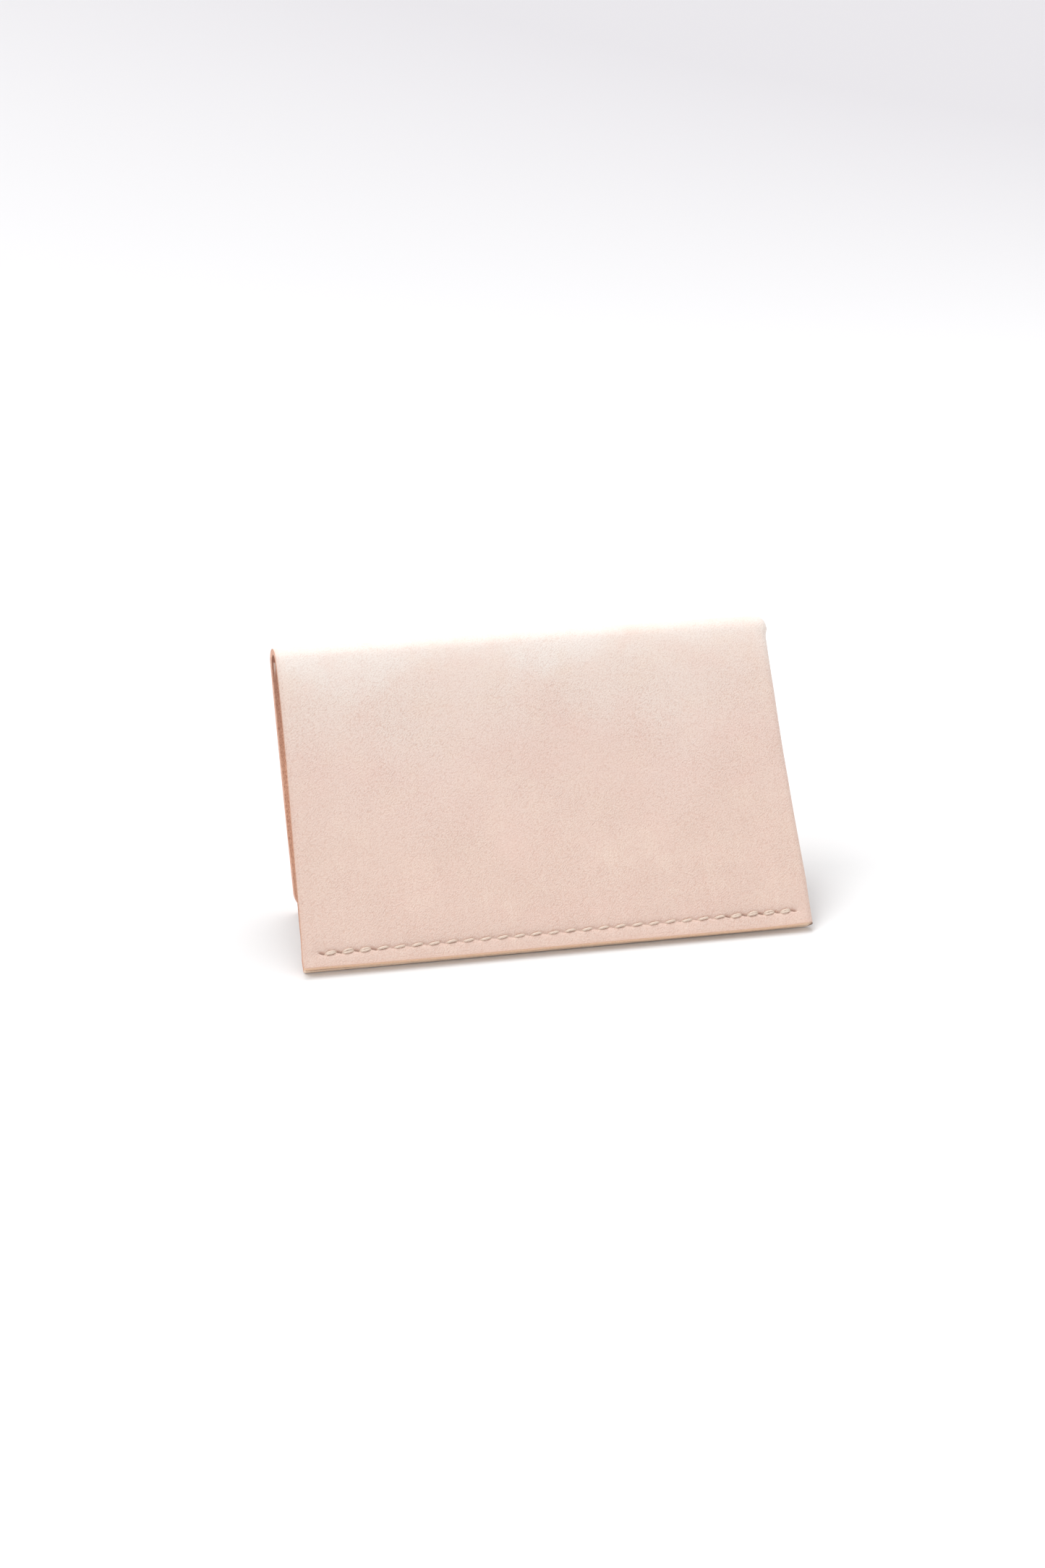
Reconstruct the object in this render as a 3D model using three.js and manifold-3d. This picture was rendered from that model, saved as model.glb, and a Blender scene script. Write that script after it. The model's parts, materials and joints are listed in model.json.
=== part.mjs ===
// A folded leather card holder, standing open on its lower edges like a low tent.
// One strip of leather is doubled along its right side and then folded over a spine, which gives a
// tall front half and a shorter back half. Each half is an outer panel and a lining panel with a
// card pocket between them, open at the left and closed at the bottom by a row of lock stitches.
// Millimetres. X runs along the spine, Y runs from front to back and Z is up.
import * as THREE from 'three';
import { mergeVertices } from 'three/addons/utils/BufferGeometryUtils.js';
import Module from 'manifold-3d';

// Driving dimensions
const WIDTH = 110;
const FRONT_HEIGHT = 72;
const BACK_HEIGHT = 58.5;
const LEATHER = 1.4;
const POCKET_GAP = 0.3;
const CLOSED_GAP = 0.6;
const PIECE_GAP = 0.3;
const BEND_RADIUS = 280;
const FRONT_LEAN = THREE.MathUtils.degToRad(37);
const BACK_CORNER_RADIUS = 5;

// Seams
const STITCH_COUNT = 28;
const STITCH_PITCH = 3.64;
const SEAM_FROM_EDGE = 3.2;
const STITCH_SLANT = THREE.MathUtils.degToRad(8);
const STITCH_HALF_LENGTH = 1.72;
const THREAD_HALF_WIDTH = 0.36;
const THREAD_HALF_DEPTH = 0.22;
const GROOVE_WIDTH = 1.9;
const GROOVE_DEPTH = 0.8;
const NEEDLE_HOLE_RADIUS = 0.7;
const THREAD_LEG_RADIUS = 0.35;

// Facets
const BAND_STEPS = 11;
const FOLD_STEPS = 8;
const HOLE_SIDES = 5;

// Worked out from the above
const OUTER_FACE = CLOSED_GAP / 2 + 2 * LEATHER + POCKET_GAP;
const OUTER_BACK = OUTER_FACE - LEATHER;
const LINING_FACE = CLOSED_GAP / 2;
const LINING_BACK = LINING_FACE + LEATHER;
const HALF_THICKNESS = OUTER_FACE - LINING_FACE;
const FOLD_RADIUS = HALF_THICKNESS / 2;
const MIDDLE = (OUTER_FACE + LINING_FACE) / 2;
const FRONT_LENGTH = FRONT_HEIGHT - OUTER_FACE;
const BACK_LENGTH = BACK_HEIGHT - OUTER_FACE;
const TOP_LEAN = FRONT_LEAN - FRONT_LENGTH / BEND_RADIUS / 2;
const LEFT_EDGE = -WIDTH / 2;
const FOLD_START = WIDTH / 2 - FOLD_RADIUS;
const PANEL_RIGHT = FOLD_START - PIECE_GAP;

const leather = new THREE.MeshStandardMaterial({ color: 0xeed6c9, roughness: 0.62, metalness: 0 });
const lining = new THREE.MeshStandardMaterial({ color: 0xdfbda8, roughness: 0.7, metalness: 0 });
const thread = new THREE.MeshStandardMaterial({ color: 0xefe6d8, roughness: 0.5, metalness: 0 });

const wasm = await Module();
wasm.setup();

function toSolid(geometry) {
  const bare = geometry.clone();
  bare.deleteAttribute('normal');
  bare.deleteAttribute('uv');
  const merged = mergeVertices(bare, 1e-4);
  return new wasm.Manifold(new wasm.Mesh({
    numProp: 3,
    vertProperties: new Float32Array(merged.attributes.position.array),
    triVerts: new Uint32Array(merged.index.array),
  }));
}

function toGeometry(solid) {
  const mesh = solid.getMesh();
  const geometry = new THREE.BufferGeometry();
  geometry.setAttribute('position', new THREE.BufferAttribute(mesh.vertProperties, 3));
  geometry.setIndex(new THREE.BufferAttribute(mesh.triVerts, 1));
  geometry.computeVertexNormals();
  return geometry;
}

// Both halves are drawn folded shut, hanging from the spine's axis at the origin. side is 1 for the
// front half and -1 for the back half. along is the distance down the bent panel from the spine, and
// height is the distance out from the plane where the two halves meet.
function outward(side, along) {
  const lean = TOP_LEAN + along / BEND_RADIUS;
  return new THREE.Vector3(0, -Math.cos(lean), Math.sin(lean)).multiplyScalar(side);
}

function pointOn(side, along, height, x = 0) {
  const bendCentre = outward(1, 0).multiplyScalar(BEND_RADIUS);
  const radius = BEND_RADIUS - side * height;
  const point = bendCentre.addScaledVector(outward(1, along), -radius);
  point.x = x;
  return point;
}

// A frame on a panel: x along the spine, y up the panel and z out of its face.
function frameOn(side, along, height, x = 0) {
  const out = outward(side, along);
  const right = new THREE.Vector3(side, 0, 0);
  const up = new THREE.Vector3().crossVectors(out, right);
  return new THREE.Matrix4().makeBasis(right, up, out).setPosition(pointOn(side, along, height, x));
}

// A solid along X whose section is an outline in the Y-Z plane.
function prism(outline, left, right) {
  const shape = new THREE.Shape(outline.map((point) => new THREE.Vector2(point.y, point.z)));
  const geometry = new THREE.ExtrudeGeometry(shape, { depth: right - left, bevelEnabled: false });
  const axes = new THREE.Matrix4().makeBasis(
    new THREE.Vector3(0, 1, 0),
    new THREE.Vector3(0, 0, 1),
    new THREE.Vector3(1, 0, 0),
  );
  return geometry.applyMatrix4(axes.setPosition(left, 0, 0));
}

function bandPoints(side, length, height) {
  const points = [];
  for (let step = 0; step <= BAND_STEPS; step += 1) {
    const along = PIECE_GAP + (length - PIECE_GAP) * step / BAND_STEPS;
    points.push(pointOn(side, along, height));
  }
  return points;
}

function seamHoles() {
  const first = -STITCH_COUNT * STITCH_PITCH / 2;
  return Array.from({ length: STITCH_COUNT + 1 }, (_, index) => first + index * STITCH_PITCH);
}

// A rod across the leather on the seam line, from one height to another.
function rodOnSeam(side, length, x, radius, from, to) {
  const rod = new THREE.CylinderGeometry(radius, radius, Math.abs(to - from), HOLE_SIDES);
  rod.rotateX(Math.PI / 2);
  const frame = frameOn(side, length - SEAM_FROM_EDGE, (from + to) / 2, x);
  return toSolid(rod.applyMatrix4(frame));
}

function panel(side, length, inner, outer, face, cornerRadius) {
  const outline = [...bandPoints(side, length, outer), ...bandPoints(side, length, inner).reverse()];
  let solid = toSolid(prism(outline, LEFT_EDGE, PANEL_RIGHT));
  const grooveLength = STITCH_COUNT * STITCH_PITCH + GROOVE_WIDTH;
  const groove = new THREE.BoxGeometry(grooveLength, GROOVE_WIDTH, 2 * GROOVE_DEPTH);
  solid = solid.subtract(toSolid(groove.applyMatrix4(frameOn(side, length - SEAM_FROM_EDGE, face))));
  for (const x of seamHoles()) {
    const hole = rodOnSeam(side, length, x, NEEDLE_HOLE_RADIUS, inner - PIECE_GAP, outer + PIECE_GAP);
    solid = solid.subtract(hole);
  }
  if (cornerRadius > 0) {
    solid = solid.subtract(cornerCut(side, length, cornerRadius));
  }
  return toGeometry(solid);
}

// What is trimmed off the lower left corner to round it.
function cornerCut(side, length, radius) {
  const shape = new THREE.Shape();
  shape.moveTo(-1, -1);
  shape.lineTo(radius, -1);
  shape.lineTo(radius, 0);
  shape.absarc(radius, radius, radius, -Math.PI / 2, -Math.PI, true);
  shape.lineTo(-1, radius);
  const depth = 3 * OUTER_FACE;
  const waste = new THREE.ExtrudeGeometry(shape, { depth, bevelEnabled: false, curveSegments: 4 });
  waste.translate(0, 0, -depth / 2);
  if (side < 0) {
    waste.scale(-1, 1, 1);
    flipFaces(waste);
  }
  return toSolid(waste.applyMatrix4(frameOn(side, length, 0, LEFT_EDGE)));
}

function flipFaces(geometry) {
  const position = geometry.attributes.position;
  const second = new THREE.Vector3();
  const third = new THREE.Vector3();
  for (let corner = 0; corner < position.count; corner += 3) {
    second.fromBufferAttribute(position, corner + 1);
    third.fromBufferAttribute(position, corner + 2);
    position.setXYZ(corner + 1, third.x, third.y, third.z);
    position.setXYZ(corner + 2, second.x, second.y, second.z);
  }
}

class BentLine extends THREE.Curve {
  constructor(side, length) {
    super();
    this.side = side;
    this.length = length;
  }

  getPoint(share) {
    return pointOn(this.side, PIECE_GAP + (this.length - PIECE_GAP) * share, MIDDLE, FOLD_START);
  }
}

class SpineArc extends THREE.Curve {
  constructor(from, to) {
    super();
    this.from = from;
    this.to = to;
  }

  getPoint(share) {
    const angle = THREE.MathUtils.lerp(this.from, this.to, share);
    return new THREE.Vector3(FOLD_START, MIDDLE * Math.cos(angle), MIDDLE * Math.sin(angle));
  }
}

// The doubled edge: a half ring that joins the outer panel to the lining.
function sideFold(path, steps) {
  const ring = new THREE.Shape();
  ring.absarc(0, 0, FOLD_RADIUS, Math.PI / 2, 3 * Math.PI / 2, false);
  ring.absarc(0, 0, FOLD_RADIUS - LEATHER, 3 * Math.PI / 2, Math.PI / 2, true);
  return new THREE.ExtrudeGeometry(ring, { steps, curveSegments: 4, extrudePath: path });
}

function spineBand(inner, outer, from, to) {
  const ring = [];
  for (let step = 0; step <= FOLD_STEPS; step += 1) {
    ring.push({ radius: outer, angle: THREE.MathUtils.lerp(from, to, step / FOLD_STEPS) });
  }
  for (let step = FOLD_STEPS; step >= 0; step -= 1) {
    ring.push({ radius: inner, angle: THREE.MathUtils.lerp(from, to, step / FOLD_STEPS) });
  }
  const outline = ring.map(({ radius, angle }) => (
    new THREE.Vector3(0, radius * Math.cos(angle), radius * Math.sin(angle))
  ));
  return prism(outline, LEFT_EDGE, PANEL_RIGHT);
}

// One thread of a seam: a bead in the groove between each two holes, and a leg down each hole.
// inwards is -1 where the leather lies under the face, and 1 where it lies above it.
function threadRow(side, length, face, inwards) {
  const level = face + inwards * (THREAD_HALF_DEPTH + 0.05);
  const legEnd = face + inwards * (LEATHER - 0.1);
  const holes = seamHoles();
  let row = rodOnSeam(side, length, holes[0], THREAD_LEG_RADIUS, level, legEnd);
  for (let index = 1; index < holes.length; index += 1) {
    const bead = new THREE.SphereGeometry(1, 5, 3);
    bead.rotateZ(Math.PI / 2);
    bead.scale(STITCH_HALF_LENGTH, THREAD_HALF_WIDTH, THREAD_HALF_DEPTH);
    bead.rotateZ(STITCH_SLANT);
    const middle = (holes[index - 1] + holes[index]) / 2;
    row = row.add(toSolid(bead.applyMatrix4(frameOn(side, length - SEAM_FROM_EDGE, level, middle))));
    row = row.add(rodOnSeam(side, length, holes[index], THREAD_LEG_RADIUS, level, legEnd));
  }
  return toGeometry(row);
}

function addPiece(group, name, geometry, material) {
  const mesh = new THREE.Mesh(geometry, material.clone());
  mesh.name = name;
  group.add(mesh);
}

function addHalf(group, name, side, length, cornerRadius) {
  const outerPanel = panel(side, length, OUTER_BACK, OUTER_FACE, OUTER_FACE, cornerRadius);
  const liningPanel = panel(side, length, LINING_FACE, LINING_BACK, LINING_FACE, cornerRadius);
  addPiece(group, `${name}_outer_panel`, outerPanel, leather);
  addPiece(group, `${name}_lining_panel`, liningPanel, lining);
  addPiece(group, `${name}_side_fold`, sideFold(new BentLine(side, length), BAND_STEPS), leather);
  addPiece(group, `${name}_needle_thread`, threadRow(side, length, OUTER_FACE, -1), thread);
  addPiece(group, `${name}_bobbin_thread`, threadRow(side, length, LINING_FACE, 1), thread);
}

// The spine's axis is as high as the front half holds it, on the lower edge of its lining.
const axisHeight = -pointOn(1, FRONT_LENGTH, LINING_FACE).z;

function backFootHeight(opening) {
  const foot = pointOn(-1, BACK_LENGTH, OUTER_FACE);
  return axisHeight + foot.applyAxisAngle(new THREE.Vector3(1, 0, 0), opening).z;
}

// The back half swings open until its lower edge meets the same surface.
function standingOpening() {
  let narrow = THREE.MathUtils.degToRad(10);
  let wide = THREE.MathUtils.degToRad(35);
  for (let round = 0; round < 40; round += 1) {
    const middle = (narrow + wide) / 2;
    if (backFootHeight(middle) > 0) {
      narrow = middle;
    } else {
      wide = middle;
    }
  }
  return narrow;
}

const opening = standingOpening();
const spineFrom = Math.PI - TOP_LEAN;
const spineTo = opening - TOP_LEAN;

const frontHalf = new THREE.Group();
addHalf(frontHalf, 'front', 1, FRONT_LENGTH, 0);

const backHalf = new THREE.Group();
addHalf(backHalf, 'back', -1, BACK_LENGTH, BACK_CORNER_RADIUS);
backHalf.rotation.x = opening;

const spine = new THREE.Group();
addPiece(spine, 'spine_outer_fold', spineBand(OUTER_BACK, OUTER_FACE, spineFrom, spineTo), leather);
addPiece(spine, 'spine_lining_fold', spineBand(LINING_FACE, LINING_BACK, spineFrom, spineTo), lining);
addPiece(spine, 'spine_side_fold', sideFold(new SpineArc(spineFrom, spineTo), FOLD_STEPS), leather);

const cardHolder = new THREE.Group();
cardHolder.add(frontHalf, backHalf, spine);
cardHolder.position.z = axisHeight;
cardHolder.updateMatrixWorld(true);
const extent = new THREE.Box3().setFromObject(cardHolder, true);
cardHolder.position.y = -(extent.min.y + extent.max.y) / 2;

export default cardHolder;
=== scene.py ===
import json
import math

import bpy
import numpy as np
from mathutils import Matrix, Vector


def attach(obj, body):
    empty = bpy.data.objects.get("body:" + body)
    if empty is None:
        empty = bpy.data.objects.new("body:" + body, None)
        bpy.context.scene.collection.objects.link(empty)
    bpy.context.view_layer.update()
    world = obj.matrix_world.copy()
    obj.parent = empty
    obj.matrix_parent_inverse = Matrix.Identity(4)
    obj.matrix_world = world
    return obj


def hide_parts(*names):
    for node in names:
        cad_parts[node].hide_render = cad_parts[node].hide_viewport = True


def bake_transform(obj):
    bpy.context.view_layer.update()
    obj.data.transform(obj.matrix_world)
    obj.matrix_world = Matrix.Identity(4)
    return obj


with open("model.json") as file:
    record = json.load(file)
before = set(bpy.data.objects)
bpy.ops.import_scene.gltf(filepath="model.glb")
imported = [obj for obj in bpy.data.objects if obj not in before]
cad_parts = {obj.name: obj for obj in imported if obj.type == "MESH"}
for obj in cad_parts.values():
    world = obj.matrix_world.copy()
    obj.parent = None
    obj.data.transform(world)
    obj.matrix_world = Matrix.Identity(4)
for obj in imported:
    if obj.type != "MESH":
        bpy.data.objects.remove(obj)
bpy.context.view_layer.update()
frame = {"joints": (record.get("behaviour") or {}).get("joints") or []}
scene = bpy.context.scene
MM = 0.001

# ---------------------------------------------------------------- dimensions, in mm
# The strip of leather is doubled at its right side and folded over the spine at the top. Its points
# are placed by x from left to right, s down one half from the spine, and h out from the plane where
# the two halves close. On the flat sheet, u runs across and v from the front's foot to the back's.
HINGE = np.array(frame["joints"][0]["pos_m"]) / MM
LEFT, FOLD_START = -55.0, 53.45
FOLD_RADIUS, MIDDLE = 1.55, 1.85
OUTER_FACE, LINING_FACE = 3.4, 0.3
THICKNESS = 1.4
FRONT_LENGTH, BACK_LENGTH = 68.6, 55.1
BEND = 280.0
TOP_LEAN = math.radians(37) - FRONT_LENGTH / BEND / 2
OPENING = math.radians(21.1816)
ARC_FROM = math.pi - TOP_LEAN
ARC_TO = OPENING - TOP_LEAN
ARC_LENGTH = 9.4
SHOULDER = 0.35
SPINE_V = FRONT_LENGTH + ARC_LENGTH / 2
LAST_V = FRONT_LENGTH + ARC_LENGTH + BACK_LENGTH
LAST_U = 2 * (FOLD_START - LEFT) + math.pi * FOLD_RADIUS

# the seams: distance from the foot, holes, and how many stitches at each end are gone over twice
SEAM, PITCH, STITCHES = 3.2, 3.64, 28
HOLES = (np.arange(STITCHES + 1) - STITCHES / 2) * PITCH
TWICE_FIRST, TWICE_LAST = 3, 4
# what they press into the leather: a valley, and at each hole a slit in a hollow. Each stitch lies
# in a dent. Slits and dents have a half length and a half width, and pairs are for once and twice.
VALLEY_DEPTH, VALLEY_WIDTH = 0.12, 1.25
SLIT_ANGLE, SLIT_DEPTHS, SLIT_LENGTH, SLIT_WIDTH = math.radians(-20), (0.3, 0.8), 0.66, 0.2
HOLLOW_DEPTH, HOLLOW_LENGTH, HOLLOW_WIDTH = 0.14, 0.9, 0.6
DENT_ANGLE, DENT_DEPTH, DENT_LENGTH, DENT_WIDTHS = math.radians(7), 0.34, 1.3, (0.36, 0.56)
RELIEF_REACH, LINING_RELIEF = 0.7, 0.85
# the thread: radius, lanes where it is gone over twice, height, sway across the seam and twist
THREAD_RADII = (0.31, 0.27)
TWICE_LANES = (-0.21, 0.21)
NEEDLE_LIFT, BOBBIN_LIFT = -0.14, -0.24
NEEDLE_SWAY, BOBBIN_SWAY = 0.15, -0.12
HALF_STITCH, DIVE = 0.345, 0.95
TWIST, PLY_SHARE, THIN_END = 2.3, 0.76, 0.68
SEEDS = {"front_needle": 3, "front_bobbin": 5, "back_needle": 11, "back_bobbin": 13}

# how the real edges stray from straight lines: marks along the edge, then the shift at each
CORNERS = {"front": 0.5, "back": 4.2}
LEFT_WANDER = (
    [0, 8.6, 23.2, 37.8, 52.4, 62, 66, 68.6],
    [0.1, 0.24, 0.36, 0.24, 0.1, 0.0, -0.2, -0.1],
)
RIGHT_WANDER = (
    [0, 1.5, 5, 9, 15.5, 28.5, 35, 50, 58, 64, 68.6],
    [0, -0.02, -0.36, -0.33, -0.2, -0.13, 0, 0.05, 0.08, -0.15, -0.3],
)
FOOT_WANDER = (
    [-55, -50, -43, -27, 5, 20, 36, 44, 50, 53],
    [-0.1, -0.1, 0, 0.1, 0.1, 0.18, 0.25, 0.25, 0.14, 0],
)
# the left edges are cut at a bevel through both layers, and the back's stands out near the spine
FRONT_BEVEL, BACK_BEVEL = 0.8, 0.55
BACK_EDGE, BACK_EDGE_SLOPE = -0.72, 0.0263
LEFT_REACH = 13
# the right edge is narrower near the spine. At the spine's end a knob stands out, and it is rounded
# off and squeezed from ROUND_FROM on.
RIGHT_AT_SPINE, RIGHT_WIDENING = -0.38, 0.62
KNOB, KNOB_FROM = 0.5, 50.8
ROUND_FROM, ROUND_WIDTH = 51.4, 3.6

# numbers for the parts of the section and of the strip, and for its three materials
FRONT, SPINE, BACK = 0, 1, 2
OUTER, FOLD, LINING = 0, 1, 2
GRAIN_FACE, EDGE_FACE, FLESH_FACE = 0, 1, 2


# ---------------------------------------------------------------- the bent sheet of leather
def on_half(front, s, h):
    """Y and Z of points of one half, s down from the spine and h out from the closing plane."""
    side = 1.0 if front else -1.0
    lean = TOP_LEAN + s / BEND
    y = -math.cos(TOP_LEAN) * BEND + np.cos(lean) * (BEND - side * h)
    z = math.sin(TOP_LEAN) * BEND - np.sin(lean) * (BEND - side * h)
    if not front:
        c, n = math.cos(OPENING), math.sin(OPENING)
        y, z = y * c - z * n, y * n + z * c
    return HINGE[1] + y, HINGE[2] + z


def smooth(t):
    t = np.clip(t, 0, 1)
    return t * t * (3 - 2 * t)


def bell(t):
    return np.exp(-t * t)


rng = np.random.default_rng(7)
WAVE_HEIGHT = 0.14
WAVES = [
    (rng.uniform(-1, 1) * 0.11, rng.uniform(-1, 1) * 0.13, rng.uniform(0, 6.28), rng.uniform(0.5, 1))
    for _ in range(9)
]


def wave(x, v):
    """Low, wide unevenness of a real piece of leather, from -1 to 1."""
    total = sum(a * np.sin(kx * x + kv * v + p) for kx, kv, p, a in WAVES)
    return total / sum(w[3] for w in WAVES)


def shoulder(part, value, s):
    """How far the leather stands out near the spine, where it won't fold flat.
    value is the angle round the spine, or s on a half."""
    q = (value - (ARC_FROM + ARC_TO) / 2) / ((ARC_FROM - ARC_TO) / 2)
    rise = np.where(part == BACK, 0.62, 0.86)
    reach = np.where(part == BACK, 2.9, 4.0)
    panel = (SHOULDER + rise * (1 - np.exp(-s / reach))) * (1 - smooth((s - 4) / 46))
    return np.where(part == SPINE, SHOULDER * np.abs(q) ** 3, panel)


def pressed(h, edge):
    """h, with the two layers pressed together along the seams. edge is the distance from the foot."""
    return MIDDLE + (h - MIDDLE) * (1 - 0.085 * (1 - smooth((edge - 1) / 8)))


def oblong(x, y, angle, half_length, half_width):
    """1 in the middle of a long dent turned by an angle, and 0 outside it."""
    along = x * math.cos(angle) + y * math.sin(angle)
    across = -x * math.sin(angle) + y * math.cos(angle)
    return np.exp(-((along / half_length) ** 4)) * bell(across / half_width)


def seam_relief(x, edge):
    """How far the leather is pressed in along a seam."""
    last = STITCHES - TWICE_LAST - 1
    de = edge - SEAM
    valley = VALLEY_DEPTH * bell(de / VALLEY_WIDTH) * smooth((54.0 - np.abs(x)) / 2.2)

    # the slit of each hole, pulled open where the seam is gone over twice, and the hollow round it
    hole = np.clip(np.round((x - HOLES[0]) / PITCH), 0, STITCHES)
    dx = x - (HOLES[0] + hole * PITCH)
    pull = np.where((hole <= TWICE_FIRST) | (hole > last), SLIT_DEPTHS[1], SLIT_DEPTHS[0])
    relief = valley + pull * oblong(dx, de, SLIT_ANGLE, SLIT_LENGTH, SLIT_WIDTH)
    relief = relief + HOLLOW_DEPTH * bell(dx / HOLLOW_LENGTH) * bell(de / HOLLOW_WIDTH)

    # the dent that each stitch lies in
    stitch = np.clip(np.floor((x - HOLES[0]) / PITCH), 0, STITCHES - 1)
    mx = x - (HOLES[0] + (stitch + 0.5) * PITCH)
    wide = np.where((stitch < TWICE_FIRST) | (stitch > last), DENT_WIDTHS[1], DENT_WIDTHS[0])
    inside = np.where(np.abs(x) < HOLES[-1], 1.0, 0.0)
    return relief + inside * DENT_DEPTH * oblong(mx, de, DENT_ANGLE, DENT_LENGTH, wide)


def section(kind, spot):
    """x and h of points on the grain side, their outward direction and their u on the sheet.
    spot is the angle round the side fold, or x on a panel."""
    outer, fold = kind == OUTER, kind == FOLD
    angle = np.where(fold, spot, 0.0)
    x = np.where(fold, FOLD_START + FOLD_RADIUS * np.cos(angle), spot)
    h = np.where(fold, MIDDLE + FOLD_RADIUS * np.sin(angle), np.where(outer, OUTER_FACE, LINING_FACE))
    nx = np.where(fold, np.cos(angle), 0.0)
    nh = np.where(fold, np.sin(angle), np.where(outer, 1.0, -1.0))
    turn = FOLD_START - LEFT + (math.pi / 2 - angle) * FOLD_RADIUS
    u = np.where(outer, spot - LEFT, np.where(fold, turn, LAST_U - (spot - LEFT)))
    return x, h, nx, nh, u


def lay(part, value, kind, spot, depth, inset_u, inset_v):
    """Points of the strip in mm at a depth in from the grain, their place on the sheet, and how far
    they are from a cut edge. inset_u and inset_v draw points of a cut edge back into the sheet."""
    x, h, nx, nh, u = section(kind, spot)
    panel = kind != FOLD
    spine = part == SPINE
    length = np.where(part == FRONT, FRONT_LENGTH, BACK_LENGTH)
    s = np.where(spine, 0.0, value)
    edge = np.where(spine, 99.0, length - s)
    v = np.where(part == FRONT, FRONT_LENGTH - s, FRONT_LENGTH + ARC_LENGTH + s)
    v = np.where(spine, FRONT_LENGTH + ARC_LENGTH * (ARC_FROM - value) / (ARC_FROM - ARC_TO), v)

    # the raw left edge, with rounded lower corners
    corner = np.where(part == FRONT, CORNERS["front"], CORNERS["back"])
    inside = np.clip(corner - edge, 0, corner)
    shift = corner - np.sqrt(corner * corner - inside * inside)
    front_edge = np.interp(s, *LEFT_WANDER)
    back_edge = BACK_EDGE + BACK_EDGE_SLOPE * s
    round_spine = (ARC_FROM - value) / (ARC_FROM - ARC_TO)
    back = np.where(spine, smooth(round_spine), np.where(part == FRONT, 0.0, 1.0))
    through = np.where(kind == OUTER, depth, 2 * THICKNESS - depth) / THICKNESS / 2
    front_edge = front_edge - FRONT_BEVEL * through * smooth(s / 6) * (1 - smooth((s - 36) / 18))
    shift += front_edge * (1 - back) + (back_edge + BACK_BEVEL * through) * back
    near = 1 - smooth((x - LEFT) / LEFT_REACH)
    x = x + np.where(panel, shift * near, 0.0) + inset_u

    # the folded right edge, with a slight pinch below the knob at the spine
    right = smooth((x - 20) / 35)
    tip = smooth((x - KNOB_FROM) / 3)
    squeeze = 1 - np.sqrt(1 - np.clip((x - ROUND_FROM) / ROUND_WIDTH, 0, 1) ** 2)
    wander = np.interp(s, *RIGHT_WANDER)
    x = x + right * (RIGHT_AT_SPINE + RIGHT_WIDENING * smooth(s / 60) + wander)
    x = x + tip * np.where(spine, KNOB, KNOB * bell(s / 1.1) - 0.08 * bell((s - 2.4) / 1.2))

    out = shoulder(part, value, s) + WAVE_HEIGHT * wave(x, v) * smooth(edge / 12) * smooth(s / 14)
    squeeze = squeeze * np.where(spine, 1.0, 1 - smooth(s / 5))
    h = LINING_FACE + (pressed(h, edge) - LINING_FACE) * (1 - 0.5 * squeeze) + out * (1 - 0.6 * squeeze)

    # the seam's relief fades out through the thickness, and the squeezed end of the spine is thinner
    share = np.clip(1 - depth / RELIEF_REACH, 0, 1)
    relief = seam_relief(x, edge) * np.where(kind == OUTER, 1.0, LINING_RELIEF)
    relief = np.where(panel & (edge < 7), relief, 0.0)
    thick = 1 - 0.42 * squeeze
    x = x - (depth * thick + relief * share) * nx
    h = h - (depth * thick + relief * share) * nh

    # the cut lower edges: the front's outer layer not quite straight, and the fold's corner rounded
    longer = np.interp(x, *FOOT_WANDER) * (1 - smooth(edge / 2.4))
    draw = inset_v + np.where(edge < 0.01, 0.5 * nx * nx, 0.0)
    draw = draw - np.where((part == FRONT) & (kind == OUTER), longer, 0.0)
    yf, zf = on_half(True, s - draw, h)
    yb, zb = on_half(False, s - draw, h)
    y = np.where(part == FRONT, yf, yb)
    z = np.where(part == FRONT, zf, zb)
    y = np.where(spine, HINGE[1] + np.cos(value) * h, y)
    z = np.where(spine, HINGE[2] + np.sin(value) * h, z)
    from_left = np.where(panel, spot - LEFT, 99.0)
    return np.stack([x, y, z], -1), np.stack([u, v, depth + 0 * u], -1), np.minimum(edge, from_left)


# ---------------------------------------------------------------- the strip's mesh
# rows of both grids near the spine
TOP_ROWS = [0.0, 0.35, 0.8, 1.5, 2.4, 3.6, 5.2]
# the fine grid of the grain side: rows near the foot and the seam, columns round each hole, and
# columns near the left edge, with fewer on the lining; the pitch of the other rows, and the steps
# round the spine and round the side fold
FINE_ROWS = [0, 0.14, 0.34, 0.6, 0.9, 1.25, 1.6, 1.95, 2.2, 2.4, 2.56, 2.7, 2.84, 2.98, 3.12, 3.26]
FINE_ROWS += [3.4, 3.54, 3.68, 3.82, 3.98, 4.2, 4.5, 4.9, 5.4, 6.1, 7.0, 8.2]
FINE_OUTER = [-1.82, -1.45, -1.15, -0.9, -0.68, -0.46, -0.23, 0, 0.23, 0.46, 0.68, 0.9, 1.15, 1.45]
FINE_LINING = [-1.6, -0.75, -0.25, 0.25, 0.75]
FINE_MARGINS = [0, 0.12, 0.3, 0.6, 1.0, 1.5], [0, 0.15, 0.5, 1.0]
FINE_PITCH, FINE_ARC, FINE_FOLD = 2.2, 26, 18
# the wide grid of the flesh side, which is out of sight between the layers
WIDE_ROWS = [0, 1.2, 2.4, 3.4, 4.6, 6.4]
WIDE_COLUMNS, WIDE_MARGIN = [-1.82, 0], [0, 0.8]
WIDE_PITCH, WIDE_ARC, WIDE_FOLD = 5.0, 14, 8
# depth of each ring of the cut edges and how far it is drawn back, which rounds the edges slightly
EDGE_RINGS = ((0.035, 0.03), (0.12, 0), (0.36, 0), (0.6, 0), (0.84, 0), (1.08, 0), (1.28, 0.02))
GRAIN_ROUNDING, FRAYING = 0.1, 0.04


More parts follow.
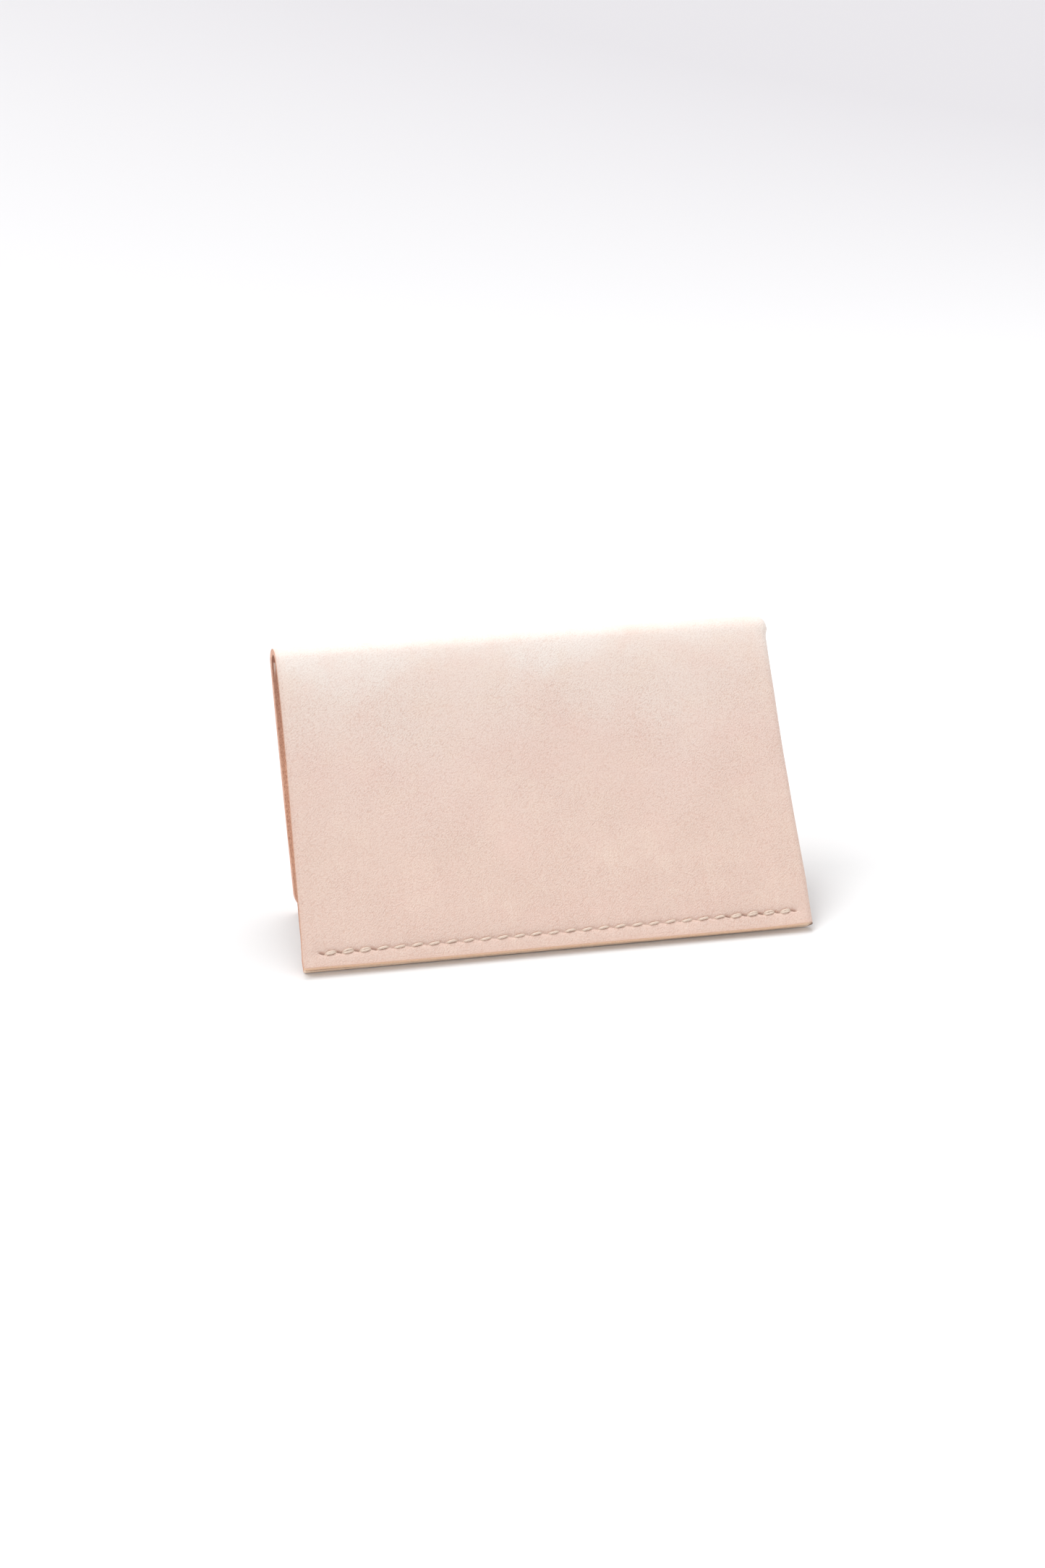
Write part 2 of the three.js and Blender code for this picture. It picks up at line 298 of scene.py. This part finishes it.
def down_from_spine(length, near_edge, pitch):
    """Rows of one half, as distances from the spine. They are close together at the spine and at the
    seam, where near_edge gives them as distances from the foot."""
    last = length - near_edge[-1]
    steps = max(3, round((last - TOP_ROWS[-1]) / pitch) + 1)
    middle = np.linspace(TOP_ROWS[-1], last, steps)[1:-1]
    return np.concatenate([TOP_ROWS, middle, length - np.array(near_edge[::-1])])


def strip_rows(near_edge, pitch, arc_steps):
    """The part and the place on it of each row, from the front's foot over the spine to the back's."""
    front = down_from_spine(FRONT_LENGTH, near_edge, pitch)[::-1]
    back = down_from_spine(BACK_LENGTH, near_edge, pitch)
    arc = np.linspace(ARC_FROM, ARC_TO, arc_steps + 1)[1:-1]
    part = np.concatenate([front * 0 + FRONT, arc * 0 + SPINE, back * 0 + BACK])
    return part, np.concatenate([front, arc, back])


def strip_columns(offsets, margin, fold_steps, lining_offsets, lining_margin):
    """The kind and the place on it of each column, from the outer layer's left edge to the lining's.
    The offsets are from each hole of the seam, and the margins from the left edge."""

    def panel(marks, near_edge):
        spots = np.unique(np.round(np.add.outer(HOLES, marks).ravel(), 4))
        spots = spots[(spots > LEFT + near_edge[-1]) & (spots < FOLD_START - 0.1)]
        return np.concatenate([LEFT + np.array(near_edge), spots])

    outer, lining = panel(offsets, margin), panel(lining_offsets, lining_margin)[::-1]
    fold = np.linspace(math.pi / 2, -math.pi / 2, fold_steps + 1)
    kind = np.concatenate([outer * 0 + OUTER, fold * 0 + FOLD, lining * 0 + LINING])
    return kind, np.concatenate([outer, fold, lining])


def border_of(shape):
    """Row and column numbers round the border of a grid."""
    last_row, last_column = shape[0] - 1, shape[1] - 1
    path = [(0, i) for i in range(last_column + 1)]
    path += [(j, last_column) for j in range(1, last_row + 1)]
    path += [(last_row, i) for i in range(last_column - 1, -1, -1)]
    path += [(j, 0) for j in range(last_row - 1, 0, -1)]
    return np.array(path).T


def border_shares(shape, border, u, v):
    """How far round the border each of its points is, one unit for each side."""
    j, i = border
    share = np.where(j == 0, u[i] / u[-1], 0.0)
    share = np.where((i == shape[1] - 1) & (j > 0), 1 + v[j] / v[-1], share)
    share = np.where((j == shape[0] - 1) & (i < shape[1] - 1), 3 - u[i] / u[-1], share)
    share = np.where((i == 0) & (j > 0) & (j < shape[0] - 1), 4 - v[j] / v[-1], share)
    return list(share) + [4.0]


def build_strip():
    """The whole strip as one closed mesh: grain side, flesh side and the cut edges between them."""
    part, value = strip_rows(FINE_ROWS, FINE_PITCH, FINE_ARC)
    kind, spot = strip_columns(FINE_OUTER, FINE_MARGINS[0], FINE_FOLD, FINE_LINING, FINE_MARGINS[1])
    wide_part, wide_value = strip_rows(WIDE_ROWS, WIDE_PITCH, WIDE_ARC)
    wide_kind, wide_spot = strip_columns(WIDE_COLUMNS, WIDE_MARGIN, WIDE_FOLD, WIDE_COLUMNS, WIDE_MARGIN)
    points, sheets, edges, faces, kinds = [], [], [], [], []

    def add(p, s, e):
        start = sum(len(q) for q in points)
        points.append(p.reshape(-1, 3))
        sheets.append(s.reshape(-1, 3))
        edges.append(e.ravel())
        return start + np.arange(p.size // 3).reshape(p.shape[:-1])

    def grid(parts, values, kind_list, spots, depth, round_in):
        ones = np.ones((len(parts), len(kind_list)))
        inset_u, inset_v = ones * 0, ones * 0
        inset_u[:, [0, -1]] = round_in
        inset_v[[0, -1], :] = round_in
        across = kind_list * ones, spots * ones
        laid = lay(parts[:, None] * ones, values[:, None] * ones, *across, depth, inset_u, inset_v)
        return add(*laid), laid[1]

    grain, sheet = grid(part, value, kind, spot, 0.0, GRAIN_ROUNDING)
    flesh, wide_sheet = grid(wide_part, wide_value, wide_kind, wide_spot, THICKNESS, 0.0)

    def quads(ids, material):
        q = np.stack([ids[:-1, :-1], ids[:-1, 1:], ids[1:, 1:], ids[1:, :-1]], -1).reshape(-1, 4)
        if material == FLESH_FACE:
            q = q[:, ::-1]
        faces.extend(q.tolist())
        kinds.extend([material] * len(q))

    quads(grain, GRAIN_FACE)
    quads(flesh, FLESH_FACE)

    # the cut edges: rings of points round the border, from the grain down to the flesh side
    j, i = border = border_of(grain.shape)
    on_u = np.where((i == 0) | (i == grain.shape[1] - 1), 1.0, 0.0)
    on_v = np.where((j == 0) | (j == grain.shape[0] - 1), 1.0, 0.0)
    previous = grain[j, i]
    for depth, inset in EDGE_RINGS:
        frayed = np.sin(depth * 31 + j * 2.3 + i * 1.7) * np.sin(i * 0.9 + j * 1.1 + depth * 7)
        give = inset if inset else FRAYING * np.abs(frayed)
        p, s, e = lay(part[j], value[j], kind[i], spot[i], depth, give * on_u, give * on_v)
        ring = add(p, s, e * 0)
        faces.extend(np.stack([previous, ring, np.roll(ring, -1), np.roll(previous, -1)], -1).tolist())
        kinds.extend([EDGE_FACE] * len(ring))
        previous = ring

    # the last ring is sewn to the flesh side, whose points are further apart
    wide_border = border_of(flesh.shape)
    fine = border_shares(grain.shape, border, sheet[0, :, 0], sheet[:, 0, 1])
    wide = border_shares(flesh.shape, wide_border, wide_sheet[0, :, 0], wide_sheet[:, 0, 1])
    ring = list(previous) + [previous[0]]
    inner = list(flesh[wide_border[0], wide_border[1]])
    inner.append(inner[0])
    a = b = 0
    while a < len(ring) - 1 or b < len(inner) - 1:
        if b == len(inner) - 1 or (a < len(ring) - 1 and fine[a + 1] <= wide[b + 1] + 1e-9):
            faces.append([ring[a], inner[b], ring[a + 1]])
            a += 1
        else:
            faces.append([ring[a], inner[b], inner[b + 1]])
            b += 1
        kinds.append(EDGE_FACE)

    mesh = bpy.data.meshes.new("leather_strip")
    mesh.from_pydata((np.concatenate(points) * MM).tolist(), [], faces)
    attribute = mesh.attributes.new("sheet", "FLOAT_VECTOR", "POINT")
    attribute.data.foreach_set("vector", np.concatenate(sheets).astype(np.float32).ravel())
    attribute = mesh.attributes.new("from_edge", "FLOAT", "POINT")
    attribute.data.foreach_set("value", np.concatenate(edges).astype(np.float32))
    mesh.polygons.foreach_set("material_index", np.array(kinds, np.int32))
    return shown("leather_strip", mesh)


def shown(name, mesh):
    """An object for a mesh, shaded smooth and linked to the scene."""
    mesh.polygons.foreach_set("use_smooth", np.ones(len(mesh.polygons), bool))
    mesh.update()
    obj = bpy.data.objects.new(name, mesh)
    scene.collection.objects.link(obj)
    return obj


# ---------------------------------------------------------------- thread
def thickness_along(share):
    """The thread is pulled thin where it dives into a hole. share is the way along the stitch."""
    return THIN_END + (1 - THIN_END) * np.sin(math.pi * share) ** 0.6


def tube(path, radius, sides):
    """Three twisted strands along a path: points, strand coordinates and faces. The strand
    coordinates are the distance along, the place round the strand and a number for each strand."""
    tangent = np.gradient(path, axis=0)
    tangent /= np.linalg.norm(tangent, axis=1)[:, None]
    run = np.concatenate([[0], np.cumsum(np.linalg.norm(np.diff(path, axis=0), axis=1))])
    side = np.cross(tangent, [0, -0.7, 0.7])
    side /= np.linalg.norm(side, axis=1)[:, None]
    upward = np.cross(side, tangent)
    ply = radius * PLY_SHARE
    scale = thickness_along(np.linspace(0, 1, len(path)))
    points, data, faces = [], [], []
    for strand in range(3):
        turn = TWIST * run + 2 * math.pi * strand / 3
        offset = (radius - ply) * scale
        centre = path + offset[:, None] * (np.cos(turn)[:, None] * side + np.sin(turn)[:, None] * upward)
        start = strand * len(path) * sides
        for i in range(len(path)):
            for m in range(sides):
                angle = 2 * math.pi * m / sides
                direction = math.cos(angle) * side[i] + math.sin(angle) * upward[i]
                points.append(centre[i] + direction * ply * scale[i])
                data.append((run[i], m / sides + strand, strand * 3.7))
        for i in range(len(path) - 1):
            a = start + i * sides
            for m in range(sides):
                n = (m + 1) % sides
                faces.append([a + m, a + sides + m, a + sides + n, a + n])
        faces.append([start + m for m in range(sides)])
        faces.append([start + (len(path) - 1) * sides + m for m in reversed(range(sides))])
    return points, data, faces


def build_seam(name, front, outer, sides, steps, seed):
    """A row of lock stitches. On the needle side the first and the last ones are gone over twice."""
    local = np.random.default_rng(seed)
    points, data, faces = [], [], []
    length = FRONT_LENGTH if front else BACK_LENGTH
    seam_v = SEAM if front else LAST_V - SEAM
    height, sway = (NEEDLE_LIFT, NEEDLE_SWAY) if outer else (BOBBIN_LIFT, BOBBIN_SWAY)
    q = np.linspace(-1, 1, steps)
    for stitch in range(STITCHES):
        doubled = outer and (stitch < TWICE_FIRST or stitch >= STITCHES - TWICE_LAST)
        for lane in TWICE_LANES if doubled else (0.0,):
            jitter = local.uniform(-1, 1, 4)
            x = HOLES[stitch] + PITCH * (0.5 + HALF_STITCH * q) + 0.05 * jitter[0]
            spread = lane * (1 - np.abs(q) ** 2.4) + 0.1 * jitter[3] * (1 - q * q)
            edge = SEAM + sway * np.sin(math.pi * q / 2) + spread + 0.04 * jitter[1]
            lift = height + 0.03 * jitter[2] - DIVE * np.abs(q) ** 4
            s = length - edge
            part = np.full(len(q), FRONT if front else BACK)
            out = shoulder(part, s, s) + WAVE_HEIGHT * wave(x, seam_v) * smooth(edge / 12)
            h = out + pressed(OUTER_FACE + lift if outer else LINING_FACE - lift, edge)
            y, z = on_half(front, s, h)
            p, d, f = tube(np.stack([x, y, z], -1), THREAD_RADII[doubled], sides)
            start = len(points)
            points += p
            data += d
            faces += [[k + start for k in face] for face in f]
    mesh = bpy.data.meshes.new(name)
    mesh.from_pydata((np.array(points) * MM).tolist(), [], faces)
    attribute = mesh.attributes.new("strand", "FLOAT_VECTOR", "POINT")
    attribute.data.foreach_set("vector", np.array(data, np.float32).ravel())
    return shown(name, mesh)


# ---------------------------------------------------------------- materials
class Graph:
    """Short calls for building a node material."""

    def __init__(self, name):
        self.material = bpy.data.materials.new(name)
        self.material.use_nodes = True
        self.nodes = self.material.node_tree.nodes
        self.links = self.material.node_tree.links
        self.shader = self.nodes["Principled BSDF"]

    def add(self, kind, settings=None, **inputs):
        node = self.nodes.new(kind)
        for key, value in (settings or {}).items():
            setattr(node, key, value)
        for key, value in inputs.items():
            self.put(node, key, value)
        return node

    def put(self, node, key, value):
        socket = node.inputs[int(key) if key.isdigit() else key]
        if hasattr(value, "is_output"):
            self.links.new(value, socket)
        else:
            socket.default_value = value

    def math(self, operation, a, b=0.0, clamp=False):
        node = self.nodes.new("ShaderNodeMath")
        node.operation, node.use_clamp = operation, clamp
        self.put(node, "0", a)
        self.put(node, "1", b)
        return node.outputs[0]

    def above(self, value, start, gain):
        """How far a value is above a start, times a gain, from 0 to 1."""
        return self.math("MULTIPLY", self.math("SUBTRACT", value, start, True), gain, True)

    def below(self, value, start, gain):
        return self.math("MULTIPLY", self.math("SUBTRACT", start, value, True), gain, True)

    def near(self, distance, reach):
        """1 at no distance, falling to 0 at the reach."""
        return self.math("SUBTRACT", 1.0, self.math("DIVIDE", distance, reach), True)

    def noise(self, vector, scale, detail, roughness, distortion=0.0):
        node = self.add("ShaderNodeTexNoise", {"noise_dimensions": "3D"}, Vector=vector)
        node.inputs["Scale"].default_value = scale
        node.inputs["Detail"].default_value = detail
        node.inputs["Roughness"].default_value = roughness
        node.inputs["Distortion"].default_value = distortion
        return node.outputs["Fac"]

    def cells(self, vector, scale, smoothness=None):
        feature = "F1" if smoothness is None else "SMOOTH_F1"
        node = self.add("ShaderNodeTexVoronoi", {"feature": feature}, Vector=vector)
        node.inputs["Scale"].default_value = scale
        if smoothness is not None:
            node.inputs["Smoothness"].default_value = smoothness
        return node

    def stretch(self, vector, scale, move=(0, 0, 0)):
        """Coordinates that squeeze a pattern by a scale on each axis."""
        node = self.add("ShaderNodeMapping", Vector=vector)
        node.inputs["Scale"].default_value = scale
        node.inputs["Location"].default_value = move
        return node.outputs[0]

    def turned(self, vector, degrees, long):
        """Coordinates that make a pattern longer in one direction."""
        node = self.add("ShaderNodeMapping", {"vector_type": "TEXTURE"}, Vector=vector)
        node.inputs["Rotation"].default_value = (0, 0, math.radians(degrees))
        node.inputs["Scale"].default_value = (long, 1, 1)
        return node.outputs[0]

    def ramp(self, fac, stops):
        node = self.nodes.new("ShaderNodeValToRGB")
        self.links.new(fac, node.inputs[0])
        while len(node.color_ramp.elements) < len(stops):
            node.color_ramp.elements.new(0.5)
        for element, (position, color) in zip(node.color_ramp.elements, stops):
            element.position = position
            element.color = (*color, 1.0)
        return node.outputs[0]

    def mix(self, fac, a, b, blend="MIX"):
        node = self.nodes.new("ShaderNodeMix")
        node.data_type, node.blend_type = "RGBA", blend
        self.put(node, "0", fac)
        self.put_color(node.inputs[6], a)
        self.put_color(node.inputs[7], b)
        return node.outputs[2]

    def put_color(self, socket, value):
        if hasattr(value, "is_output"):
            self.links.new(value, socket)
        else:
            socket.default_value = (*value, 1.0)

    def named(self, name):
        node = self.nodes.new("ShaderNodeAttribute")
        node.attribute_name = name
        return node

    def bump(self, height, strength, distance):
        node = self.add("ShaderNodeBump", Height=height)
        node.inputs["Strength"].default_value = strength
        node.inputs["Distance"].default_value = distance
        return node.outputs[0]

    def finish(self, color, roughness, normal, specular):
        self.put_color(self.shader.inputs["Base Color"], color)
        self.put(self.shader, "Roughness", roughness)
        self.links.new(normal, self.shader.inputs["Normal"])
        self.shader.inputs["Specular IOR Level"].default_value = specular
        return self.material


def rgb(r, g, b):
    """Linear colour of an sRGB one."""
    shares = (r / 255, g / 255, b / 255)
    return tuple(c / 12.92 if c <= 0.04045 else ((c + 0.055) / 1.055) ** 2.4 for c in shares)


# the leather's colour from the spine down, paler near the spine where the spine's highlight is painted in,
# and of each level of the fibres in its cut edges
LEATHER_WITH_SPINE_HIGHLIGHT = [
    (0.0, rgb(243, 233, 226)),
    (0.1, rgb(241, 229, 221)),
    (0.18, rgb(239, 222, 212)),
    (0.4, rgb(236, 211, 200)),
    (0.68, rgb(231, 205, 192)),
    (0.95, rgb(225, 198, 185)),
]
# the pale foot fibres are painted light, paler than raw leather, making up for light missing at the foot
FOOT_FIBRES_PAINTED_LIT = [(0.3, rgb(243, 194, 161)), (0.5, rgb(253, 215, 184)), (0.68, rgb(255, 227, 201))]
# the brown fibres of the left edges carry painted shade, and the pale fibres next are a painted lit copy
# of them
RAW_FIBRES_SHADED = [(0.36, rgb(140, 86, 66)), (0.5, rgb(198, 142, 116)), (0.64, rgb(226, 178, 150))]
PALE_FIBRES_LIT = [(0.36, rgb(206, 154, 132)), (0.5, rgb(230, 180, 158)), (0.64, rgb(240, 200, 180))]
# depth of each material's fine relief, in metres
GRAIN_RELIEF, EDGE_RELIEF, SUEDE_RELIEF, FIBRE_RELIEF = 0.00009, 0.00025, 0.0003, 0.00006


def grain_material():
    g = Graph("natural_grain_leather")
    sheet = g.named("sheet").outputs["Vector"]
    edge = g.named("from_edge").outputs["Fac"]
    v = g.add("ShaderNodeSeparateXYZ", Vector=sheet).outputs[1]

    # paler near the spine, a painted highlight, and in soft patches, clouds and faint streaks
    from_spine = g.math("ABSOLUTE", g.math("SUBTRACT", v, SPINE_V))
    patches = g.noise(sheet, 0.035, 2.0, 0.5, 0.6)
    shift = g.math("MULTIPLY", g.math("SUBTRACT", patches, 0.5), 0.5)
    color = g.ramp(g.math("ADD", g.math("DIVIDE", from_spine, 72.0), shift), LEATHER_WITH_SPINE_HIGHLIGHT)
    clouds = g.noise(g.stretch(sheet, (1, 1, 1), (31, 7, 3)), 0.11, 3.0, 0.6)
    color = g.mix(g.above(clouds, 0.47, 1.1), color, rgb(238, 204, 192))
    pale = g.noise(g.stretch(sheet, (1, 1, 1), (3, 57, 3)), 0.14, 3.0, 0.6)
    color = g.mix(g.above(pale, 0.5, 1.5), color, rgb(240, 218, 202))
    streaks = g.noise(g.stretch(sheet, (0.9, 0.045, 1)), 1.0, 3.0, 0.55)
    color = g.mix(g.above(streaks, 0.5, 0.5), color, rgb(246, 228, 215))

    # the grain: small slanted pebbles and hollows, worn smooth near the spine, in relief and in colour,
    # with painted shade darkening the hollows and a painted highlight on the pebbles
    warp = g.add("ShaderNodeTexNoise", Vector=sheet, Scale=0.8).outputs["Color"]
    warped = g.mix(0.12, sheet, warp, "ADD")
    pebble = g.cells(g.turned(warped, 52, 1.7), 4.1, 0.15).outputs["Distance"]
    worms = g.noise(g.turned(sheet, 38, 2.2), 6.0, 1.0, 0.5, 0.8)
    hollow = g.math("ADD", pebble, g.math("MULTIPLY", g.math("SUBTRACT", 1.0, worms), 0.6))
    hollow = g.math("SUBTRACT", hollow, 0.62)
    uneven = g.math("ADD", 0.55, g.math("MULTIPLY", g.noise(sheet, 0.06, 2.0, 0.5), 0.9))
    worn = g.math("ADD", 0.35, g.math("DIVIDE", from_spine, 24.0), True)
    hollow = g.math("MULTIPLY", g.math("MULTIPLY", hollow, uneven), worn)
    raised = g.math("MULTIPLY", hollow, -1.0)
    color = g.mix(g.math("MULTIPLY", g.math("MAXIMUM", hollow, 0.0), 0.7, True), color, rgb(204, 164, 146))
    color = g.mix(g.math("MULTIPLY", g.math("MAXIMUM", raised, 0.0), 0.8, True), color, rgb(255, 243, 232))

    # a few dark specks
    marks = g.cells(g.stretch(sheet, (1, 0.7, 1)), 0.055)
    speck = g.math("SUBTRACT", 1.0, g.math("MULTIPLY", marks.outputs["Distance"], 36.0, True), True)
    chosen = g.math("FRACT", g.math("MULTIPLY", marks.outputs["Color"], 7.31))
    speck = g.math("MULTIPLY", speck, g.math("GREATER_THAN", chosen, 0.72))
    color = g.mix(g.math("MULTIPLY", speck, 0.6), color, rgb(120, 88, 74))

    # a darker rim along the cut edges, with a faint crease inside it
    rim = g.math("POWER", g.near(edge, 1.1), 2.0)
    color = g.mix(g.math("MULTIPLY", rim, 0.4), color, rgb(218, 176, 154))
    from_crease = g.math("ABSOLUTE", g.math("SUBTRACT", edge, 0.8))
    crease = g.math("SUBTRACT", 1.0, g.math("MULTIPLY", from_crease, 6.0), True)
    color = g.mix(g.math("MULTIPLY", crease, 0.12), color, rgb(214, 176, 156))

    height = g.math("ADD", raised, g.math("MULTIPLY", g.noise(sheet, 0.5, 2.0, 0.5), 0.5))
    height = g.math("SUBTRACT", height, g.math("MULTIPLY", crease, 0.2))
    normal = g.bump(height, 1.0, GRAIN_RELIEF)
    roughness = g.math("ADD", 0.5, g.math("MULTIPLY", g.noise(sheet, 0.3, 3.0, 0.6), 0.16))
    return g.finish(color, roughness, normal, 0.35)


def edge_material():
    g = Graph("raw_cut_edge")
    sheet = g.named("sheet").outputs["Vector"]
    split = g.add("ShaderNodeSeparateXYZ", Vector=sheet)
    u, v, depth = (split.outputs[i] for i in range(3))
    fibres = g.noise(g.stretch(sheet, (1, 1, 1.6)), 1.7, 5.0, 0.75, 0.6)

    # the lower edges are pale, and more so on the lining: painted light, paler than raw leather, making up
    # for light missing at the foot
    color = g.ramp(fibres, FOOT_FIBRES_PAINTED_LIT)
    lining = g.math("DIVIDE", g.math("SUBTRACT", u, 106.0), 6.0, True)
    color = g.mix(g.math("MULTIPLY", lining, 0.6), color, rgb(255, 238, 218))

    # the left edge is browner, partly painted shade, which is darkest in the fold near the spine; it is
    # paler, painted light, at the front's foot and on the outer layer at the top of the spine and down the
    # back
    from_spine = g.math("ABSOLUTE", g.math("SUBTRACT", v, SPINE_V))
    fold_shade = g.math("MULTIPLY", g.near(from_spine, 30.0), 0.75)
    raw = g.mix(fold_shade, g.ramp(fibres, RAW_FIBRES_SHADED), rgb(122, 74, 58))
    outer = g.math("LESS_THAN", u, 20.0)
    back = g.math("MULTIPLY", g.math("DIVIDE", g.math("SUBTRACT", v, 70.0), 8.0, True), outer)
    top = g.math("MULTIPLY", outer, g.math("DIVIDE", g.math("SUBTRACT", 8.0, from_spine), 3.0, True))
    paler = g.math("MAXIMUM", g.math("MAXIMUM", back, g.near(v, 18.0)), top)
    raw = g.mix(paler, raw, g.ramp(fibres, PALE_FIBRES_LIT))
    left = g.math("MULTIPLY", g.math("GREATER_THAN", v, 0.3), g.math("LESS_THAN", v, LAST_V - 0.3))
    color = g.mix(left, color, raw)

    flecks = g.noise(sheet, 5.5, 3.0, 0.7)
    color = g.mix(g.below(flecks, 0.47, 2.5), color, rgb(160, 100, 74))
    color = g.mix(g.math("MULTIPLY", g.near(depth, 0.25), 0.7), color, rgb(222, 180, 158))
    height = g.math("ADD", fibres, g.math("MULTIPLY", flecks, 0.6))
    normal = g.bump(height, 0.7, EDGE_RELIEF)
    return g.finish(color, 0.86, normal, 0.2)


def flesh_material():
    g = Graph("flesh_side_suede")
    sheet = g.named("sheet").outputs["Vector"]
    nap = g.noise(sheet, 1.1, 6.0, 0.7, 0.5)
    color = g.ramp(nap, [(0.3, rgb(196, 150, 122)), (0.7, rgb(226, 188, 162))])
    fluff = g.noise(sheet, 6.0, 4.0, 0.75)
    normal = g.bump(g.math("ADD", nap, fluff), 0.8, SUEDE_RELIEF)
    return g.finish(color, 0.92, normal, 0.15)


def thread_material(name, tone):
    g = Graph(name)
    strand = g.named("strand").outputs["Vector"]
    fibres = g.noise(g.stretch(strand, (1.2, 9.0, 1.0)), 1.0, 4.0, 0.6)
    color = g.ramp(fibres, [(0.3, rgb(*(c * 0.93 for c in tone))), (0.65, rgb(*tone))])
    normal = g.bump(fibres, 0.5, FIBRE_RELIEF)
    roughness = g.math("ADD", 0.42, g.math("MULTIPLY", fibres, 0.2))
    return g.finish(color, roughness, normal, 0.4)


# ---------------------------------------------------------------- the object
strip = build_strip()
for material in (grain_material(), edge_material(), flesh_material()):
    strip.data.materials.append(material)
NEEDLE_TONE, BOBBIN_TONE = (230, 209, 193), (227, 206, 190)
halves = ("front", "back")
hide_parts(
    *[f"{half}_{part}" for half in halves for part in ("outer_panel", "lining_panel", "side_fold")],
    *[f"spine_{part}_fold" for part in ("outer", "lining", "side")],
)
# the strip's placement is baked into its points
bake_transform(strip)

needle = thread_material("waxed_cream_thread", NEEDLE_TONE)
bobbin = thread_material("waxed_cream_thread_inside", BOBBIN_TONE)
for half in halves:
    front = half == "front"
    for role, outer in (("needle", True), ("bobbin", False)):
        sides, steps = (8, 17) if front and outer else (6, 11)
        seed = SEEDS[f"{half}_{role}"]
        seam = build_seam(f"{half}_{role}_stitches", front, outer, sides, steps, seed)
        seam.data.materials.append(needle if outer else bobbin)
        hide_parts(f"{half}_{role}_thread")
        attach(seam, f"{half}_half")


# ---------------------------------------------------------------- floor, light and camera
LIGHT_ANGLE = math.radians(34)
SKY_STRENGTH = 0.785
CAMERA_PLACE = (-0.0802, -0.4307, 0.2046)
YAW, PITCH_DOWN, ROLL = (math.radians(a) for a in (9.99, 21.76, -0.86))
FLOOR_TONES_WITH_FALLOFF_SHADE = [(0.0, (0.79, 0.79, 0.795)), (0.12, (0.775, 0.775, 0.78)), (0.8, (0.585, 0.573, 0.595))]


def floor_material():
    """A pale floor that turns greyer far away, and more so to the right: painted shade for the light's
    falloff.
    """
    g = Graph("pale_floor")
    position = g.add("ShaderNodeNewGeometry").outputs["Position"]
    split = g.add("ShaderNodeSeparateXYZ", Vector=position)
    x, y = split.outputs[0], split.outputs[1]
    away = g.math("MAXIMUM", g.math("ADD", y, 0.43), 0.5)
    sideways = g.math("DIVIDE", x, away)
    # painted shade: greyer with distance and to the right, for the falloff of the light
    far = g.math("SUBTRACT", 1.0, g.math("DIVIDE", 0.75, away), True)
    far = g.math("MULTIPLY", far, g.math("ADD", 0.78, g.math("MULTIPLY", sideways, 1.1)), True)
    color = g.ramp(far, FLOOR_TONES_WITH_FALLOFF_SHADE)
    normal = g.bump(g.noise(position, 30.0, 2.0, 0.5), 0.02, 0.001)
    return g.finish(color, 0.9, normal, 0.1)


mesh = bpy.data.meshes.new("floor")
mesh.from_pydata([(-8, -4, 0), (8, -4, 0), (8, 12, 0), (-8, 12, 0)], [], [(0, 1, 2, 3)])
floor = bpy.data.objects.new("floor", mesh)
scene.collection.objects.link(floor)
floor.data.materials.append(floor_material())


def far_light(name, travel, strength):
    """A soft light from far away. A floor square to it is lit as by a sky of the same strength."""
    data = bpy.data.lights.new(name, "SUN")
    data.energy = strength * math.pi
    data.angle = LIGHT_ANGLE
    lamp = bpy.data.objects.new(name, data)
    lamp.rotation_euler = Vector(travel).to_track_quat("-Z", "Y").to_euler()
    scene.collection.objects.link(lamp)


far_light("high_back", (0, -0.47, -0.88), 0.4)
far_light("high_left", (0.47, 0, -0.88), 0.3)
world = bpy.data.worlds.new("studio")
scene.world = world
world.use_nodes = True
sky = world.node_tree.nodes["Background"]
sky.inputs["Color"].default_value = (1, 1, 1, 1)
sky.inputs["Strength"].default_value = SKY_STRENGTH

level = math.cos(PITCH_DOWN)
ahead = Vector((math.sin(YAW) * level, math.cos(YAW) * level, -math.sin(PITCH_DOWN)))
right = Vector((math.cos(YAW), -math.sin(YAW), 0))
up = right.cross(ahead)
axis_x = right * math.cos(ROLL) + up * math.sin(ROLL)
axis_y = up * math.cos(ROLL) - right * math.sin(ROLL)
camera_data = bpy.data.cameras.new("camera")
camera_data.lens = 50.0
camera_data.sensor_width = 36.0
camera_data.clip_start = 0.01
camera_data.clip_end = 50.0
camera = bpy.data.objects.new("camera", camera_data)
turn = Matrix((axis_x, axis_y, -ahead)).transposed().to_4x4()
camera.matrix_world = Matrix.Translation(CAMERA_PLACE) @ turn
scene.collection.objects.link(camera)
scene.camera = camera
scene.view_settings.view_transform = "Standard"
